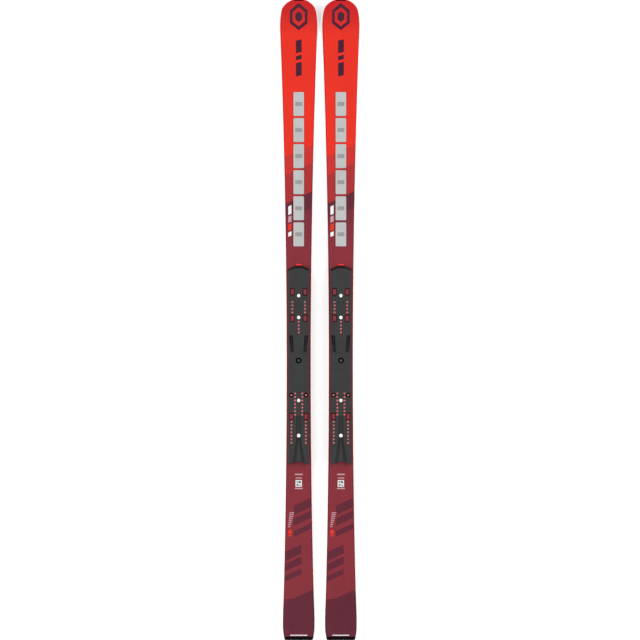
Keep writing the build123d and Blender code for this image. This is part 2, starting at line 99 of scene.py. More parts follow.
class SmoothLine:
    """A smooth curve through points, with its values and its slopes, over a rising parameter."""

    def __init__(self, parameter, values, spacing):
        kept = [0]
        for i in range(1, len(parameter)):
            if parameter[i] - parameter[kept[-1]] >= spacing:
                kept.append(i)
        kept[-1] = len(parameter) - 1
        self.at = np.asarray(parameter)[kept]
        self.value = np.asarray(values)[kept]
        self.slope = np.gradient(self.value, self.at)

    def __call__(self, where):
        return self.evaluate(where)[0]

    def evaluate(self, where):
        """The value and the slope at each place, by cubic pieces that meet smoothly."""
        where = np.asarray(where, float)
        i = np.clip(np.searchsorted(self.at, where) - 1, 0, len(self.at) - 2)
        span = self.at[i + 1] - self.at[i]
        t = (where - self.at[i]) / span
        start, end = self.value[i], self.value[i + 1]
        leave, arrive = self.slope[i] * span, self.slope[i + 1] * span
        value = ((2 * t**3 - 3 * t**2 + 1) * start + (t**3 - 2 * t**2 + t) * leave
                 + (3 * t**2 - 2 * t**3) * end + (t**3 - t**2) * arrive)
        slope = ((6 * t**2 - 6 * t) * (start - end) + (3 * t**2 - 4 * t + 1) * leave
                 + (3 * t**2 - 2 * t) * arrive) / span
        return value, slope


def height_line(points):
    """Height over y, through points of one of the ski's surfaces."""
    points = points[np.argsort(points[:, 1])]
    return SmoothLine(points[:, 1], points[:, 2], height_spacing)


def is_deck(normal, centre):
    """True on the deck, and not on the bevel round its rim."""
    outward_lean = normal.y * np.sign(centre.y)
    return abs(normal.x) < side_lean_most and normal.z > level_least and outward_lean < end_lean_most


notch_low, notch_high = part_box("left_tip_protector")
notch_half = (notch_high.x - notch_low.x) / 2 / MM
tongue_floor_y = notch_low.y / MM
tail_cut_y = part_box("left_top_sheet")[0].y / MM


def is_notch_floor(normal, centre):
    """True on the floor of the notch that the top sheet leaves for the tip protector."""
    return normal.y > facing_least and notch_low.x < centre.x < notch_high.x


def is_plug_deck(normal, centre):
    """True on the tip protector's deck, and not on the tongue that the top sheet covers."""
    return is_deck(normal, centre) and centre.y > sheet_floor_y * MM


sheet_floor_y = face_corners("left_top_sheet", is_notch_floor)[:, 1].max()
deck = height_line(np.vstack([face_corners("left_top_sheet", is_deck),
                              face_corners("left_tail_protector", is_deck),
                              face_corners("left_tip_protector", is_plug_deck)]))
base = height_line(face_corners("left_running_base", lambda normal, centre: normal.z < -level_least))

# The rim is divided every rim_step along the ski, and in notch_rows beside the tip's notch. A
# corner belongs to a line if it is within near of it.
rim_step = 4.0
notch_rows = 12
near = 0.1
sheet_corners = face_corners("left_lower_metal_sheet", lambda normal, centre: True)[:, :2]
sheet_corners[:, 0] -= centre_line("left")
on_rim = (sheet_corners[:, 0] > notch_half + near) | (
    (sheet_corners[:, 0] > 0) & (sheet_corners[:, 1] > sheet_corners[:, 1].max() - near))
rim = sheet_corners[on_rim]
rim = rim[np.argsort(rim[:, 1])]
along = np.concatenate([[0], np.cumsum(np.hypot(*np.diff(rim, axis=0).T))])
rim_x, rim_y = (SmoothLine(along, rim[:, k], rim_spacing) for k in (0, 1))
side_rows = round(along[-1] / rim_step)


def rim_points(inset, places):
    """Points of the right-hand rim, drawn in by inset, at these distances along it."""
    (x, dx), (y, dy) = rim_x.evaluate(places), rim_y.evaluate(places)
    length = np.hypot(dx, dy)
    return np.column_stack([x - inset * dy / length, y + inset * dx / length])


def rim_line(inset, floor_y):
    """The right-hand rim from the tail to the tip's notch, drawn in by inset, as (x, y) rows.

    Every line has the same number of rows, and one of them, whose number is returned too, is
    level with the notch's floor.
    """
    trial_places = np.linspace(0, along[-1], side_rows)
    floor_place = np.interp(floor_y, rim_points(inset, trial_places)[:, 1], trial_places)
    line = np.vstack([rim_points(inset, np.linspace(0, floor_place, side_rows)),
                      rim_points(inset, np.linspace(floor_place, along[-1], notch_rows)[1:])])
    row = side_rows - 1
    line[0, 1] = tail_cut_y
    line[row, 1] = floor_y
    line[-1, 0] = notch_half
    return line, row


# ------------------------------------------------------------------ mesh helpers
merge_distance = 1e-6
sharp_angle = radians(24)


def new_piece(name, bm, material, body):
    """An object made from the mesh in bm, which is in metres and in the model's frame."""
    bmesh.ops.remove_doubles(bm, verts=bm.verts, dist=merge_distance)
    bmesh.ops.recalc_face_normals(bm, faces=bm.faces)
    mesh = bpy.data.meshes.new(name)
    bm.to_mesh(mesh)
    bm.free()
    mesh.polygons.foreach_set("use_smooth", [True] * len(mesh.polygons))
    mesh.set_sharp_from_angle(angle=sharp_angle)
    mesh.materials.append(material)
    piece = bpy.data.objects.new(name, mesh)
    bpy.context.scene.collection.objects.link(piece)
    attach(piece, body)
    return piece


def place(x, line, heights):
    """Rows (x, y) and their heights as points in metres, moved to the ski at x."""
    return [Vector(((x + px) * MM, py * MM, pz * MM)) for (px, py), pz in zip(line, heights)]


def sweep(bm, x, hand, section):
    """A closed section swept along one rim. Each corner is (inset, height line, offset)."""
    columns = []
    for inset, surface, offset in section:
        line, _ = rim_line(inset, tongue_floor_y)
        heights = surface(line[:, 1]) + offset
        columns.append([bm.verts.new(p) for p in place(x, line * (hand, 1), heights)])
    count = len(columns)
    for k in range(count):
        here, there = columns[k], columns[(k + 1) % count]
        for i in range(len(here) - 1):
            bm.faces.new((here[i], there[i], there[i + 1], here[i + 1]))
    for end in (0, -1):
        bm.faces.new([column[end] for column in columns])


def slab(bm, x, floor_y, low, high):
    """A sheet over the whole plan, between two surfaces. Each one is (inset, line, offset)."""
    rings = []
    for inset, surface, offset in (low, high):
        line, row = rim_line(inset, floor_y)
        heights = surface(line[:, 1]) + offset
        floor_height = float(surface(floor_y) + offset)
        outer, inner = {}, {}
        for hand in (1, -1):
            outer[hand] = [bm.verts.new(p) for p in place(x, line * (hand, 1), heights)]
            notch = [(hand * notch_half, y) for y in line[row:-1, 1]]
            levels = [floor_height, *heights[row + 1:-1]]
            inner[hand] = [bm.verts.new(p) for p in place(x, notch, levels)] + [outer[hand][-1]]
        for i in range(row):
            floor = (inner[1][0], inner[-1][0]) if i == row - 1 else ()
            bm.faces.new((outer[-1][i], outer[1][i], outer[1][i + 1], *floor, outer[-1][i + 1]))
        for hand in (1, -1):
            for i in range(row, len(line) - 1):
                corners = [inner[hand][i - row], outer[hand][i], outer[hand][i + 1],
                           inner[hand][i - row + 1]]
                bm.faces.new(list(dict.fromkeys(corners)))
        rings.append(outer[1] + inner[1][-2::-1] + inner[-1][:-1] + outer[-1][::-1])
    for i in range(len(rings[0])):
        j = (i + 1) % len(rings[0])
        bm.faces.new((rings[0][i], rings[0][j], rings[1][j], rings[1][i]))


# ------------------------------------------------------------------ printed artwork
# The deck's bevel is as wide as it is deep, and the print starts where it ends. Edges laid across
# the deck at every few rows keep its triangles short, so that they follow its curve.
bevel_width = 3.0
film_thickness = 0.12
rung_stride = 3
cut_tolerance = 1e-4
far = 80.0              # beyond the rim on either side


def box_shape(left, rear, right, front, slant=0.0):
    """A four-cornered shape whose ends rise to the right by slant over its width."""
    return [(left, rear), (right, rear + slant), (right, front + slant), (left, front)]


def zone_shape(front, rear):
    """The band of the whole ski between two slanted lines, each one (y at the centre, slope)."""
    (front_y, front_slope), (rear_y, rear_slope) = front, rear
    return [(-far, rear_y - far * rear_slope), (far, rear_y + far * rear_slope),
            (far, front_y + far * front_slope), (-far, front_y - far * front_slope)]


def band_shape(left, right, front, width):
    """A stripe that rises to the right. Its front edge crosses the centre line's y at front."""
    return [(left, front - width + left * slant), (right, front - width + right * slant),
            (right, front + right * slant), (left, front + left * slant)]


def hexagon_shape(half_width, half_height, shoulder, centre_y):
    """A tall hexagon about the centre line."""
    return [(0, centre_y - half_height), (half_width, centre_y - shoulder),
            (half_width, centre_y + shoulder), (0, centre_y + half_height),
            (-half_width, centre_y + shoulder), (-half_width, centre_y - shoulder)]


# The zones of the print change colour at these lines, each one (y at the centre line, slope).
zone_lines = [(1000, 0), (480.5, 0.41), (428, 0.46), (347.5, 0.47), (305, 0.33), (-1000, 0)]
zone_names = ["tip_zone", "second_zone", "third_zone", "fourth_zone", "body_zone"]
# The slope of the stripes, and where the dark zone of the tail starts.
slant = 0.46
tail_zone_y = -790.0
# Where each of the rim's colours starts, from the tail forwards.
rim_colours = [(-1000.0, (84, 25, 38)), (tail_zone_y, (136, 22, 34)), (305.0, (105, 27, 41)),
               (347.5, (178, 41, 42)), (428.0, (194, 44, 42)), (480.5, (229, 40, 28))]

# Later entries lie over earlier ones. Each one is (name, ink, shapes).
artwork = [(name, name, [zone_shape(zone_lines[i], zone_lines[i + 1])])
           for i, name in enumerate(zone_names)]
artwork += [
    ("tip_badge", "plum", [hexagon_shape(25, 38, 18, 860)]),
    ("tip_badge_ring", "tip_zone", [hexagon_shape(17.5, 27, 13, 860)]),
    ("tip_badge_core", "plum", [hexagon_shape(9.5, 15, 7.5, 860)]),
    ("tip_bars", "plum", [box_shape(-8, 757, 8.5, 793, 4), box_shape(-8, 737, 8.5, 749, 4),
                          box_shape(-8, 691, 8.5, 729, 4)]),
    ("side_bars_white", "white", [box_shape(-29.5, 298, -20.5, 322, 4),
                                  box_shape(-29.5, 236, -20.5, 248, 4)]),
    ("side_bar_pink", "pale_pink", [box_shape(-29.5, 276, -20.5, 293, 4)]),
    ("side_bar_orange", "orange", [box_shape(-29.5, 253, -20.5, 271, 4)]),
    ("label_lines", "pale_pink", [box_shape(-11, -439.4, 11.5, -435.6),
                                  box_shape(-9, -448.8, 9.5, -446.2),
                                  box_shape(-11, -479, 11.5, -475.6)]),
    ("label_panel", "label_white", [box_shape(-9, -472.5, 9, -453.5)]),
    ("label_cells", "label_ink", [box_shape(-6, -469.5, -1, -464.5), box_shape(1.5, -469.5, 6, -467),
                                  box_shape(-6, -461.5, -3, -456.5), box_shape(-0.5, -462, 6, -456.5)]),
    ("rear_bands", "plum_red",
     [band_shape(-14, far, -520 - 36 * k, 26 - 5 * k) for k in range(3)]
     + [band_shape(-far, 8, -640 - 34 * k, 26 - 5 * k) for k in range(3)]),
    ("rear_lines", "pale_pink", [box_shape(-30 + 0.5 * k, -587.5 + 5.6 * k, -24 + 1.6 * k,
                                           -585 + 5.6 * k, 1.2) for k in range(8)]),
    ("rear_bars_orange", "orange", [box_shape(-30, -606, -20, -595), box_shape(-30, -613, -20, -609)]),
    ("tail_zone", "plum_red", [[(-far, -1000), (far, -1000), (far, tail_zone_y + 96 * slant),
                                (-16, tail_zone_y), (-far, tail_zone_y - 7)]]),
    ("tail_bar", "white", [box_shape(-24, -895.2, 24, -892.8)]),
]


def divide_deck():
    """Cuts the deck along the artwork's outlines. Returns (x, y) points, and triangles by piece."""
    right, row = rim_line(bevel_width, sheet_floor_y)
    notch = [(notch_half, sheet_floor_y), (-notch_half, sheet_floor_y)]
    outline = [tuple(p) for p in right] + notch + [(-px, py) for px, py in right[::-1]]
    points, faces, edges = list(outline), [list(range(len(outline)))], []
    for i in range(rung_stride, row, rung_stride):
        edges.append((i, len(outline) - 1 - i))
    owners = []
    for number, (_name, _ink, shapes) in enumerate(artwork):
        for shape in shapes:
            faces.append(list(range(len(points), len(points) + len(shape))))
            owners.append(number)
            points.extend(shape)
    keep_inside = 1
    found = delaunay_2d_cdt([Vector(p) for p in points], edges, faces, keep_inside, cut_tolerance)
    corners, triangles, origins = found[0], found[2], found[5]
    by_piece = {}
    for triangle, inside in zip(triangles, origins):
        if 0 in inside and len(inside) > 1:
            owner = max(owners[k - 1] for k in inside if k)
            by_piece.setdefault(owner, []).append(triangle)
    return np.array([tuple(c) for c in corners]), by_piece


def film(name, x, body, points, triangles, material):
    """One colour of the print, as a thin closed inlay whose top follows the deck."""
    heights, slopes = deck.evaluate(points[:, 1])
    used = sorted({i for triangle in triangles for i in triangle})
    index = {old: new for new, old in enumerate(used)}
    count = len(used)
    tops = [((x + points[i, 0]) * MM, points[i, 1] * MM, heights[i] * MM) for i in used]
    bottoms = [(px, py, pz - film_thickness * MM) for px, py, pz in tops]
    faces, directed = [], set()
    for triangle in triangles:
        a, b, c = (index[i] for i in triangle)
        faces.append((a, b, c))
        directed.update([(a, b), (b, c), (c, a)])
    top_count = len(faces)
    faces += [(c + count, b + count, a + count) for a, b, c in faces]
    faces += [(b, a, a + count, b + count) for a, b in directed if (b, a) not in directed]
    mesh = bpy.data.meshes.new(name)
    mesh.from_pydata(tops + bottoms, [], faces)
    mesh.polygons.foreach_set("use_smooth", [k < top_count for k in range(len(faces))])
    up = [Vector((0, -slopes[i], 1)).normalized() for i in used]
    normals = []
    for k, face in enumerate(mesh.polygons):
        normals += [up[v] if k < top_count else face.normal.copy() for v in face.vertices]
    mesh.normals_split_custom_set(normals)
    mesh.materials.append(material)
    piece = bpy.data.objects.new(name, mesh)
    bpy.context.scene.collection.objects.link(piece)
    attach(piece, body)
    return piece


# ------------------------------------------------------------------ materials
class Shader:
    """A material built node by node. Places are in the model's own frame, in metres."""

    def __init__(self, name):
        self.material = bpy.data.materials.new(name)
        self.material.use_nodes = True
        self.tree = self.material.node_tree
        self.surface = self.tree.nodes["Principled BSDF"]
        self.place = self.add("ShaderNodeTexCoord").outputs["Object"]

    def add(self, kind, **settings):
        node = self.tree.nodes.new(kind)
        for key, value in settings.items():
            setattr(node, key, value)
        return node

    def link(self, source, target):
        self.tree.links.new(source, target)

    def stretched(self, x=1.0, y=1.0, z=1.0, turn=0.0):
        """The place scaled along each axis, and turned about Z by turn degrees."""
        node = self.add("ShaderNodeMapping")
        node.inputs["Rotation"].default_value = (0, 0, radians(turn))
        node.inputs["Scale"].default_value = (x, y, z)
        self.link(self.place, node.inputs["Vector"])
        return node.outputs["Vector"]

    def noise(self, scale, detail=3.0, rough=0.55, place=None):
        node = self.add("ShaderNodeTexNoise")
        node.inputs["Scale"].default_value = scale
        node.inputs["Detail"].default_value = detail
        node.inputs["Roughness"].default_value = rough
        self.link(place or self.place, node.inputs["Vector"])
        return node.outputs["Fac"]

    def cells(self, scale, place=None):
        node = self.add("ShaderNodeTexVoronoi")
        node.inputs["Scale"].default_value = scale
        self.link(place or self.place, node.inputs["Vector"])
        return node.outputs["Distance"]

    def spread(self, value, from_low, from_high, to_low, to_high):
        """Maps a value from one range to another, held at the ends."""
        node = self.add("ShaderNodeMapRange")
        for key, number in (("From Min", from_low), ("From Max", from_high),
                            ("To Min", to_low), ("To Max", to_high)):
            node.inputs[key].default_value = number
        self.link(value, node.inputs["Value"])
        return node.outputs["Result"]

    def combine(self, operation, first, second):
        node = self.add("ShaderNodeMath", operation=operation)
        for socket, value in zip(node.inputs, (first, second)):
            if isinstance(value, (int, float)):
                socket.default_value = value
            else:
                self.link(value, socket)
        return node.outputs["Value"]

    def blend(self, factor, first, second):
        """A colour mixed from first to second as factor goes from 0 to 1."""
        node = self.add("ShaderNodeMix", data_type="RGBA")
        self.link(factor, node.inputs["Factor"])
        for key, value in (("A", first), ("B", second)):
            socket = [s for s in node.inputs if s.name == key and s.type == "RGBA"][0]
            if isinstance(value, tuple):
                socket.default_value = value
            else:
                self.link(value, socket)
        return [s for s in node.outputs if s.type == "RGBA"][0]

    def rim_zones(self):
        """The rim's colour, which changes along the ski on the same slanted lines as the print."""
        split = self.add("ShaderNodeSeparateXYZ")
        self.link(self.place, split.inputs["Vector"])
        ski = self.combine("MULTIPLY", self.combine("SIGN", split.outputs["X"], 0.0),
                           centre_line("right") * MM)
        lean = self.combine("MULTIPLY", self.combine("SUBTRACT", split.outputs["X"], ski), slant)
        along = self.combine("SUBTRACT", split.outputs["Y"], lean)
        ramp = self.add("ShaderNodeValToRGB")
        stops = ramp.color_ramp.elements
        ramp.color_ramp.interpolation = "CONSTANT"
        self.link(self.spread(along, -1.0, 1.0, 0.0, 1.0), ramp.inputs["Fac"])
        stops.remove(stops[1])
        for number, (start_y, colour) in enumerate(rim_colours):
            stop = stops[0] if number == 0 else stops.new((start_y * MM + 1.0) / 2)
            stop.color = shown_as(*colour)
        return ramp.outputs["Color"]

    def edge_mask(self, radius, low=0.04, high=0.35):
        """1 near the piece's sharp edges and 0 away from them, broken up by noise."""
        bevel = self.add("ShaderNodeBevel", samples=6)
        bevel.inputs["Radius"].default_value = radius
        geometry = self.add("ShaderNodeNewGeometry")
        dot = self.add("ShaderNodeVectorMath", operation="DOT_PRODUCT")
        self.link(bevel.outputs["Normal"], dot.inputs[0])
        self.link(geometry.outputs["Normal"], dot.inputs[1])
        turned = self.combine("SUBTRACT", 1.0, dot.outputs["Value"])
        broken = self.spread(self.noise(240.0, 4.0), 0.35, 0.65, 0.25, 1.0)
        return self.combine("MULTIPLY", self.spread(turned, low, high, 0.0, 1.0), broken)

    def bump(self, height, distance, strength=1.0, under=None):
        node = self.add("ShaderNodeBump")
        node.inputs["Strength"].default_value = strength
        node.inputs["Distance"].default_value = distance
        self.link(height, node.inputs["Height"])
        if under:
            self.link(under, node.inputs["Normal"])
        return node.outputs["Normal"]

    def finish(self, colour, rough, normal, metallic=0.0, coat=0.0, coat_rough=0.08, **constants):
        inputs = self.surface.inputs
        self.link(colour, inputs["Base Color"])
        self.link(rough, inputs["Roughness"])
        self.link(normal, inputs["Normal"])
        inputs["Metallic"].default_value = metallic
        inputs["Coat Weight"].default_value = coat
        inputs["Coat Roughness"].default_value = coat_rough
        for key, value in constants.items():
            inputs[key.replace("_", " ")].default_value = value
        return self.material


def shade(colour, amount):
    """A colour made lighter or darker by a factor."""
    return (*(min(1.0, c * amount) for c in colour[:3]), 1.0)


def printed_ink(name, colour, far_colour=None, near_y=0.0, far_y=0.0):
    """Screen-printed ink under a clear coat. It may run from one colour to another along Y, as a printed
    fade or as painted shade.
    """
    s = Shader(name)
    base_colour = colour
    if far_colour:
        split = s.add("ShaderNodeSeparateXYZ")
        s.link(s.place, split.inputs["Vector"])
        base_colour = s.blend(s.spread(split.outputs["Y"], near_y, far_y, 0, 1), colour, far_colour)
    cloud = s.spread(s.noise(6.0, 2.0), 0.3, 0.7, 0.94, 1.05)
    grain = s.spread(s.noise(1500.0, 2.0), 0.3, 0.7, 0.9, 1.1)
    flake = s.spread(s.cells(2400.0), 0.0, 0.14, 1.25, 1.0)
    tone = s.combine("MULTIPLY", s.combine("MULTIPLY", cloud, grain), flake)
    toned = s.add("ShaderNodeVectorMath", operation="SCALE")
    s.link(tone, toned.inputs["Scale"])
    if far_colour:
        s.link(base_colour, toned.inputs[0])
    else:
        toned.inputs[0].default_value = base_colour[:3]
    scuffs = s.noise(60.0, 5.0, 0.7, s.stretched(9.0, 0.6, 1.0, 7.0))
    rough = s.spread(scuffs, 0.5, 0.78, 0.34, 0.6)
    normal = s.bump(s.noise(520.0, 2.0), 0.00006, 0.35)
    return s.finish(toned.outputs["Vector"], rough, normal, coat=0.2, coat_rough=0.12,
                    Specular_IOR_Level=0.35)


grain_depth = 0.00008


def moulded_plastic(name, colour, light, specular=0.3, painted_shade_places=None):
    """Glass-filled plastic with a fine spark-eroded grain and edges rubbed lighter."""
    s = Shader(name)
    cloud = s.noise(35.0, 4.0)
    fine = s.noise(2300.0, 3.0)
    tinted = s.blend(s.spread(cloud, 0.3, 0.7, 0.0, 0.35), colour, light)
    tinted = s.blend(s.spread(fine, 0.35, 0.7, 0.0, 0.25), tinted, shade(light, 1.5))
    tinted = s.blend(s.combine("MULTIPLY", s.edge_mask(0.0003), 0.5), tinted, shade(light, 1.9))
    # Painted shade on the places that the caller marks, such as the plate's recesses and sloped nose.
    if painted_shade_places:
        tinted = s.blend(painted_shade_places(s), tinted, shade(colour, 0.08))
    scratches = s.noise(90.0, 4.0, 0.7, s.stretched(14.0, 0.8, 3.0, -11.0))
    roughness = s.spread(s.combine("ADD", fine, scratches), 0.7, 1.4, 0.45, 0.62)
    normal = s.bump(fine, grain_depth, 0.5)
    normal = s.bump(s.noise(420.0, 3.0), grain_depth * 1.6, 0.35, normal)
    return s.finish(tinted, roughness, normal, Specular_IOR_Level=specular)


# Painted shade on the plate: a surface starts to darken at the first depth below its top, and is dark by
# the second.
sunk_from, sunk_by = 0.0005, 0.0016
floor_darkness = 0.18


def plate_painted_shade(s):
    """Painted shade: 1 on the plate's sloped nose, less on the floors of its recesses, and 0 on its top.
    """
    plate_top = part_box("left_centre_bridge")[1].z
    place, facing = (s.add("ShaderNodeSeparateXYZ") for _ in range(2))
    s.link(s.place, place.inputs["Vector"])
    s.link(s.add("ShaderNodeTexCoord").outputs["Normal"], facing.inputs["Vector"])
    sunk = s.spread(place.outputs["Z"], plate_top - sunk_by, plate_top - sunk_from, 1.0, 0.0)
    upward = s.combine("MULTIPLY", sunk, s.spread(facing.outputs["Z"], 0.5, 0.6, 0.0, 1.0))
    forward = s.spread(facing.outputs["Y"], 0.3, 0.4, floor_darkness, 1.0)
    return s.combine("MULTIPLY", upward, forward)


def glossy_plastic(name, colour, light, coat=0.6, specular=0.5):
    """Smooth moulded plastic with slight flow marks."""
    s = Shader(name)
    flow = s.noise(160.0, 3.0, 0.5, s.stretched(1.0, 2.5, 1.0))
    tinted = s.blend(s.spread(flow, 0.3, 0.7, 0.0, 0.4), colour, light)
    tinted = s.blend(s.combine("MULTIPLY", s.edge_mask(0.0002), 0.4), tinted, shade(light, 1.4))
    rough = s.spread(s.noise(900.0, 3.0), 0.3, 0.7, 0.25, 0.42)
    normal = s.bump(s.noise(700.0, 2.0), 0.00005, 0.3)
    return s.finish(tinted, rough, normal, coat=coat, coat_rough=0.1, Specular_IOR_Level=specular)


def milled_plastic(name, strength):
    """Rim plastic, milled and sanded along its length, and dyed to go with the print beside it."""
    s = Shader(name)
    lines = s.noise(70.0, 5.0, 0.65, s.stretched(40.0, 1.0, 26.0))
    cloud = s.noise(14.0, 3.0)
    tone = s.combine("MULTIPLY", s.spread(lines, 0.35, 0.7, 0.86, 1.14),
                     s.spread(cloud, 0.35, 0.7, 0.9, 1.08))
    toned = s.add("ShaderNodeVectorMath", operation="SCALE")
    s.link(s.rim_zones(), toned.inputs[0])
    s.link(s.combine("MULTIPLY", tone, strength), toned.inputs["Scale"])
    rough = s.spread(lines, 0.3, 0.7, 0.38, 0.55)
    return s.finish(toned.outputs["Vector"], rough, s.bump(lines, 0.00008, 0.4), coat=0.04,
                    coat_rough=0.2, Specular_IOR_Level=0.18)


def ground_metal(name, colour, light, across=55.0, turn=0.0, rough=(0.2, 0.42)):
    """Metal with fine grinding lines and a few dull spots."""
    s = Shader(name)
    lines = s.noise(120.0, 4.0, 0.7, s.stretched(across, 1.2, across, turn))
    spots = s.noise(55.0, 5.0, 0.6)
    tinted = s.blend(s.spread(lines, 0.3, 0.7, 0.0, 1.0), colour, light)
    tinted = s.blend(s.spread(spots, 0.6, 0.78, 0.0, 0.5), tinted, shade(colour, 0.45))
    roughness = s.spread(s.combine("ADD", lines, spots), 0.7, 1.3, *rough)
    return s.finish(tinted, roughness, s.bump(lines, 0.00003, 0.4), metallic=1.0)


def gloss_paint(name, colour, dirt, coat=0.5, specular=0.5):
    """A thick gloss paint with orange peel and a little grime."""
    s = Shader(name)
    grime = s.noise(210.0, 5.0, 0.6)
    tinted = s.blend(s.spread(grime, 0.52, 0.8, 0.0, 0.35), colour, dirt)
    roughness = s.spread(grime, 0.3, 0.8, 0.16, 0.3)
    return s.finish(tinted, roughness, s.bump(s.noise(650.0, 2.0), 0.00005, 0.3), coat=coat,
                    Specular_IOR_Level=specular)


def satin_cover(name, colour, light):
    """Satin-painted metal, lightly brushed across and rubbed along its edges."""
    s = Shader(name)
    brushed = s.noise(95.0, 4.0, 0.6, s.stretched(1.0, 22.0, 1.0))
    cloud = s.noise(26.0, 3.0)
    tinted = s.blend(s.spread(brushed, 0.3, 0.7, 0.0, 0.5), colour, light)
    tinted = s.blend(s.spread(cloud, 0.4, 0.7, 0.0, 0.22), tinted, shade(colour, 0.72))
    tinted = s.blend(s.combine("MULTIPLY", s.edge_mask(0.0005), 0.6), tinted, shade(light, 1.25))
    roughness = s.spread(brushed, 0.3, 0.7, 0.34, 0.48)
    return s.finish(tinted, roughness, s.bump(brushed, 0.00003, 0.35), metallic=0.25)


def stone_ground(name, colour, light):
    """The sintered base with the fine crossed lines of a stone grinder."""
    s = Shader(name)
    first = s.noise(110.0, 3.0, 0.6, s.stretched(26.0, 1.0, 1.0, 9.0))
    second = s.noise(110.0, 3.0, 0.6, s.stretched(26.0, 1.0, 1.0, -9.0))
    pattern = s.combine("MULTIPLY", first, second)
    tinted = s.blend(s.spread(pattern, 0.15, 0.4, 0.0, 1.0), colour, light)
    return s.finish(tinted, s.spread(pattern, 0.15, 0.4, 0.3, 0.5), s.bump(pattern, 0.00008, 0.5))


def rubber(name, colour, light):
    """Matte elastomer with a dusty bloom."""
    s = Shader(name)
    bloom = s.noise(120.0, 5.0, 0.6)
    tinted = s.blend(s.spread(bloom, 0.35, 0.75, 0.0, 0.6), colour, light)
    rough = s.spread(s.noise(1500.0, 2.0), 0.3, 0.7, 0.55, 0.8)
    return s.finish(tinted, rough, s.bump(s.noise(1100.0, 3.0), 0.0001, 0.4))


def laminated_wood(name, colour, light):
    """Vertical strips of two woods with their grain along the ski."""
    s = Shader(name)
    wave = s.add("ShaderNodeTexWave", wave_type="BANDS", bands_direction="X")
    wave.inputs["Scale"].default_value = 28.0
    wave.inputs["Distortion"].default_value = 0.3
    s.link(s.place, wave.inputs["Vector"])
    grain = s.noise(40.0, 6.0, 0.6, s.stretched(22.0, 1.0, 22.0))
    tinted = s.blend(s.spread(wave.outputs["Fac"], 0.45, 0.55, 0.0, 1.0), colour, light)
    tinted = s.blend(s.spread(grain, 0.4, 0.8, 0.0, 0.6), tinted, shade(colour, 0.5))
    return s.finish(tinted, s.spread(grain, 0.3, 0.7, 0.5, 0.7), s.bump(grain, 0.0002, 0.4))


ink_colours = {
    "tip_zone": (235, 55, 42), "second_zone": (204, 56, 53), "third_zone": (176, 55, 58),
    "fourth_zone": (103, 47, 60), "body_zone": (138, 54, 63), "plum": (76, 34, 56),
    "plum_red": (102, 46, 59), "white": (250, 246, 246), "pale_pink": (203, 160, 168),
    "orange": (233, 62, 42), "label_white": (232, 236, 232), "label_ink": (88, 84, 84),
}
# Inks that change along the ski: the colour at the far end, and where the change starts and ends. The
# body zone's change is a printed fade; the tip zone's is painted shade, darker where the tip turns up.
ink_fades_and_tip_shade = {"tip_zone": (shown_as(209, 30, 4), 0.812, 0.872),
             "body_zone": (shown_as(122, 52, 64), 0.2, 0.305)}
inks = {name: printed_ink(f"ink_{name}", shown_as(*colour), *ink_fades_and_tip_shade.get(name, ()))
        for name, colour in ink_colours.items()}
finishes = {
    "base": stone_ground("base_polyethylene", (0.006, 0.006, 0.007, 1), (0.03, 0.03, 0.032, 1)),
    "edge_steel": ground_metal("edge_steel", (0.34, 0.345, 0.36, 1), (0.62, 0.63, 0.65, 1)),
    "lower_sheet": ground_metal("lacquered_sheet", (0.16, 0.01, 0.012, 1), (0.32, 0.03, 0.03, 1)),
    "metal_sheet": milled_plastic("dyed_sheet", strength=0.8),
    "core_wood": laminated_wood("core_wood", (0.45, 0.28, 0.13, 1), (0.62, 0.45, 0.27, 1)),
    "sidewall": milled_plastic("sidewall", strength=0.95),
    "top_sheet": milled_plastic("sheet_rim", strength=1.0),
    "protector": moulded_plastic("protector", (0.002, 0.002, 0.002, 1), (0.005, 0.004, 0.004, 1),
                                 specular=0.03),
    "module_pad": rubber("module_pad", (0.008, 0.008, 0.009, 1), (0.03, 0.03, 0.032, 1)),
    "module_cover": satin_cover("module_cover", (0.46, 0.462, 0.46, 1), (0.58, 0.582, 0.58, 1)),
    "module_insert": moulded_plastic("module_insert", (0.232, 0.231, 0.23, 1), (0.268, 0.267, 0.266, 1)),
    "plate": moulded_plastic("plate", (0.024, 0.0243, 0.0247, 1), (0.038, 0.0382, 0.0386, 1),
                             specular=0.2, painted_shade_places=plate_painted_shade),
    "screw_insert": glossy_plastic("screw_insert", (0.84, 0.23, 0.245, 1), (0.9, 0.29, 0.305, 1),
                                   coat=0.1),
    "black_bush": glossy_plastic("black_bush", (0.002, 0.002, 0.002, 1), (0.004, 0.004, 0.004, 1),
                                 coat=0.0, specular=0.08),
    "guide_block": glossy_plastic("guide_block", (0.185, 0.021, 0.031, 1), (0.262, 0.034, 0.045, 1),
                                  coat=0.1, specular=0.3),
    "glide_sheet": moulded_plastic("glide_sheet", (0.01, 0.01, 0.01, 1), (0.02, 0.02, 0.02, 1)),
    "white_cap": gloss_paint("white_cap", (0.93, 0.93, 0.925, 1), (0.74, 0.73, 0.71, 1)),
    "black_washer": gloss_paint("black_washer", (0.002, 0.002, 0.002, 1), (0.01, 0.01, 0.01, 1),
                                coat=0.0, specular=0.1),
    "screw_steel": ground_metal("screw_steel", (0.12, 0.12, 0.125, 1), (0.28, 0.28, 0.29, 1)),
    "bumper": rubber("bumper", (0.88, 0.006, 0.004, 1), (0.9, 0.02, 0.014, 1)),
}

for row in frame["record"]["subparts"]:
    node = frame["nodes"][row["node"]]
    node.data.materials.clear()
    node.data.materials.append(finishes[row["material_slot"]])

# ------------------------------------------------------------------ the skis' bodies
# Widths and heights of the layers. Those of the lower layers are counted up from the base and
# those of the upper layers down from the deck.
edge_width = 2.0
anchor_width = 6.0      # of the edges' flanges and the sidewalls
flange_bottom, flange_top = 1.3, 2.0
lower_sheet_top = 2.8
upper_sheet_depth = 1.4
print_sheet_depth = 0.6
print_depth = 0.1


def on_bevel(depth):
    """The line on the bevel at this depth under the deck, as (inset, line, height above it)."""
    return bevel_width - depth, deck, -depth


